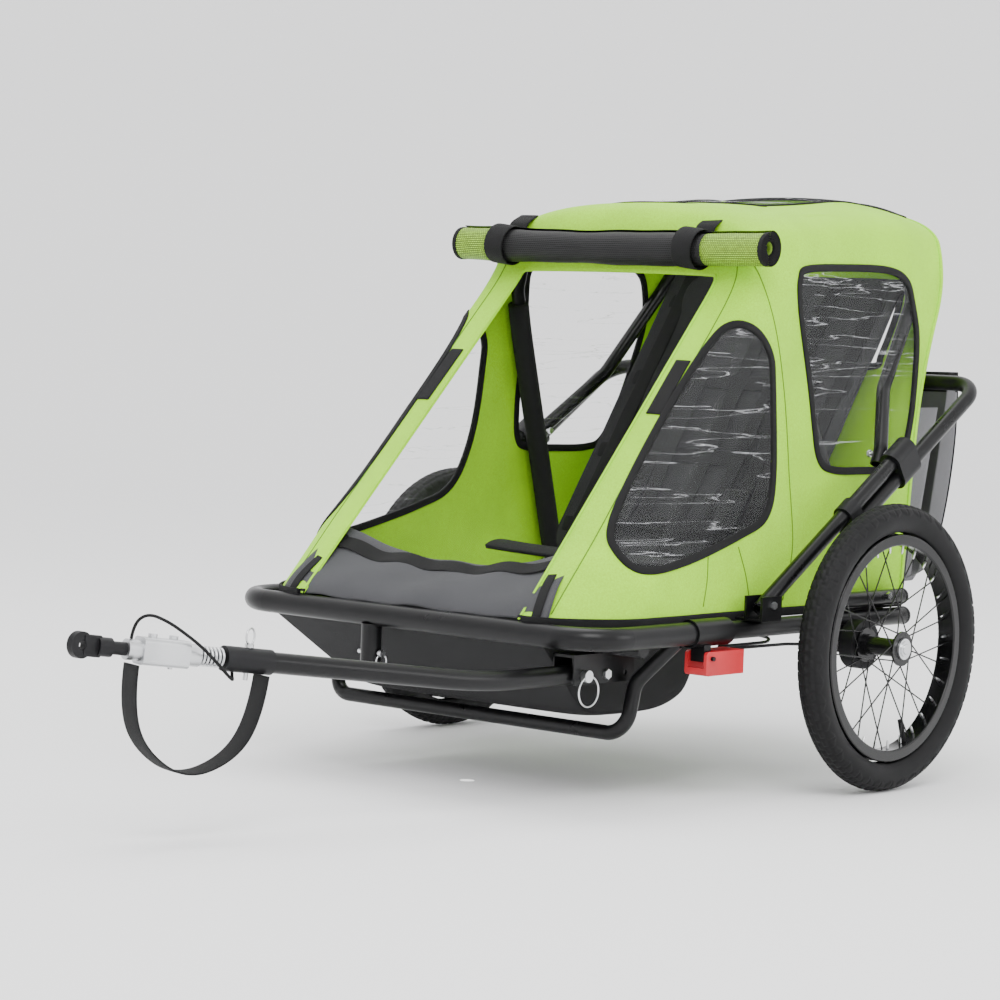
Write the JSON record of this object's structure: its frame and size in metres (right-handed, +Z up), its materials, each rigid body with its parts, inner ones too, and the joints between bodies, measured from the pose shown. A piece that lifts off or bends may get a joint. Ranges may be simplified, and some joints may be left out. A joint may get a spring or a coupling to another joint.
{
  "type": "child bicycle trailer",
  "caption": "Two-wheeled child bicycle trailer with fabric cabin, clear windows, push handle, parking brake and folding tow arm with a flexible axle hitch.",
  "frame": {"origin": "on the ground, at the centre of the whole trailer's plan box", "axes": "+Z up, the trailer's front and tow arm towards -Y, its own left side towards +X"},
  "size_m": [0.872, 1.607, 0.831],
  "materials": {
    "black_frame": "satin black powder coat",
    "zinc": "bright zinc plate",
    "spring_steel": "bright wire",
    "die_cast": "as cast, lightly polished",
    "black_plastic": "matte moulded",
    "red_plastic": "matte moulded red",
    "rubber_core": "matte",
    "tyre": "moulded tread",
    "butyl": "matte",
    "rim_black": "gloss black",
    "spoke_black": "black wire",
    "bearing_steel": "ground steel",
    "black_shaft": "black oxide",
    "lime_fabric": "coated lime polyester",
    "grey_fabric": "dark grey polyester",
    "bag_fabric": "grey polyester",
    "black_webbing": "woven webbing",
    "black_mesh": "knitted mesh",
    "clear_film": "clear PVC film"
  },
  "bodies": {
    "frame": {"front_bar": "black_frame", "side_frame_left": "black_frame", "side_frame_right": "black_frame", "tube_plugs": "black_plastic", "cross_tubes": "black_frame", "skid_loop": "black_frame", "rail_brackets": "black_frame", "stays": "black_frame", "upper_clamps": "black_plastic", "rear_hoop": "black_frame", "front_hoop": "black_frame", "frame_bolts": "zinc", "wheel_axle_left": "bearing_steel", "wheel_axle_right": "bearing_steel", "brake_cables": "black_plastic", "tow_bracket": "black_frame", "tow_pivot_bolt": "zinc", "front_wheel_socket": "black_frame", "cabin_cover": "lime_fabric", "windows": "clear_film", "roof_cover": "clear_film", "mesh_roll": "black_mesh", "seat": "grey_fabric", "harness": "black_webbing", "footwell": "grey_fabric", "storage_bag": "bag_fabric"},
    "handle": {"push_handle": "black_frame", "handle_sliders": "black_plastic"},
    "wheel_left": {"tyre_left": "tyre", "inner_tube_left": "butyl", "rim_left": "rim_black", "spokes_left": "spoke_black", "hub_left": "rim_black", "hub_bearings_left": "bearing_steel", "brake_star_left": "black_plastic"},
    "button_left": {"release_button_left": "bearing_steel"},
    "pawl_left": {"brake_pawl_left": "bearing_steel"},
    "wheel_right": {"tyre_right": "tyre", "inner_tube_right": "butyl", "rim_right": "rim_black", "spokes_right": "spoke_black", "hub_right": "rim_black", "hub_bearings_right": "bearing_steel", "brake_star_right": "black_plastic"},
    "button_right": {"release_button_right": "bearing_steel"},
    "pawl_right": {"brake_pawl_right": "bearing_steel"},
    "pedal": {"brake_pedal": "red_plastic"},
    "lock_pin": {"tow_lock_pin": "zinc"},
    "tow_arm": {"tow_arm": "black_frame", "arm_sleeve": "black_plastic", "safety_strap": "black_webbing", "lanyard": "black_webbing"},
    "linch_pin": {"linch_pin": "zinc"},
    "hitch_core": {"hitch_core": "rubber_core", "hitch_spring": "spring_steel"},
    "hitch_head": {"hitch_housing": "die_cast", "hitch_bolts": "zinc"},
    "hitch_eye": {"hitch_shaft": "black_shaft", "axle_eye": "black_shaft"},
    "socket_pin": {"socket_pin": "zinc"}
  },
  "joints": [
    {"name": "wheel_left_spin", "type": "hinge", "parent": "frame", "child": "wheel_left", "pos_m": [0.405, 0.4115, 0.2], "axis": [1, 0, 0], "continuous": true},
    {"name": "release_left", "type": "slide", "parent": "frame", "child": "button_left", "axis": [-1, 0, 0], "range_m": [0, 0.003], "stiffness_N_per_m": 600},
    {"name": "wheel_right_spin", "type": "hinge", "parent": "frame", "child": "wheel_right", "pos_m": [-0.405, 0.4115, 0.2], "axis": [1, 0, 0], "continuous": true},
    {"name": "release_right", "type": "slide", "parent": "frame", "child": "button_right", "axis": [1, 0, 0], "range_m": [0, 0.003], "stiffness_N_per_m": 600},
    {"name": "handle_slide", "type": "slide", "parent": "frame", "child": "handle", "axis": [0, 0.8387, 0.5446], "range_m": [0, 0.1]},
    {"name": "brake_pedal_press", "type": "hinge", "parent": "frame", "child": "pedal", "pos_m": [0.326, 0.0895, 0.197], "axis": [-1, 0, 0], "range_deg": [0, 22]},
    {"name": "brake_pawl_left_slide", "type": "slide", "parent": "frame", "child": "pawl_left", "axis": [1, 0, 0], "range_m": [0, 0.0081]},
    {"name": "brake_pawl_right_slide", "type": "slide", "parent": "frame", "child": "pawl_right", "axis": [-1, 0, 0], "range_m": [0, 0.0081]},
    {"name": "lock_pin_pull", "type": "slide", "parent": "frame", "child": "lock_pin", "axis": [1, 0, 0], "range_m": [0, 0.04]},
    {"name": "tow_arm_fold", "type": "hinge", "parent": "frame", "child": "tow_arm", "pos_m": [0.232, -0.0155, 0.174], "axis": [1, 0, 0], "range_deg": [0, 70]},
    {"name": "linch_pin_pull", "type": "slide", "parent": "tow_arm", "child": "linch_pin", "axis": [0.0294, 0.1093, 0.9936], "range_m": [0, 0.045]},
    {"name": "hitch_yaw", "type": "hinge", "parent": "tow_arm", "child": "hitch_core", "pos_m": [0.13013, -0.61958, 0.2202], "axis": [0.0294, 0.1093, 0.9936], "range_deg": [-40, 40], "stiffness_Nm_per_rad": 8, "deforming": ["hitch_spring", "safety_strap", "lanyard"]},
    {"name": "hitch_pitch", "type": "hinge", "parent": "hitch_core", "child": "hitch_head", "pos_m": [0.13013, -0.61958, 0.2202], "axis": [0.9657, -0.2595, 0], "range_deg": [-25, 25], "stiffness_Nm_per_rad": 20, "deforming": ["hitch_spring", "safety_strap", "lanyard"]},
    {"name": "eye_swivel", "type": "hinge", "parent": "hitch_head", "child": "hitch_eye", "pos_m": [0.10047, -0.72993, 0.23321], "axis": [0.2579, 0.9595, -0.1131], "range_deg": [-90, 90]},
    {"name": "socket_pin_pull", "type": "slide", "parent": "frame", "child": "socket_pin", "axis": [1, 0, 0], "range_m": [0, 0.035]}
  ],
  "couplings": [
    {"joint": "brake_pawl_left_slide", "follows": "brake_pedal_press", "m_per_rad": 0.02083},
    {"joint": "brake_pawl_right_slide", "follows": "brake_pedal_press", "m_per_rad": 0.02083}
  ]
}
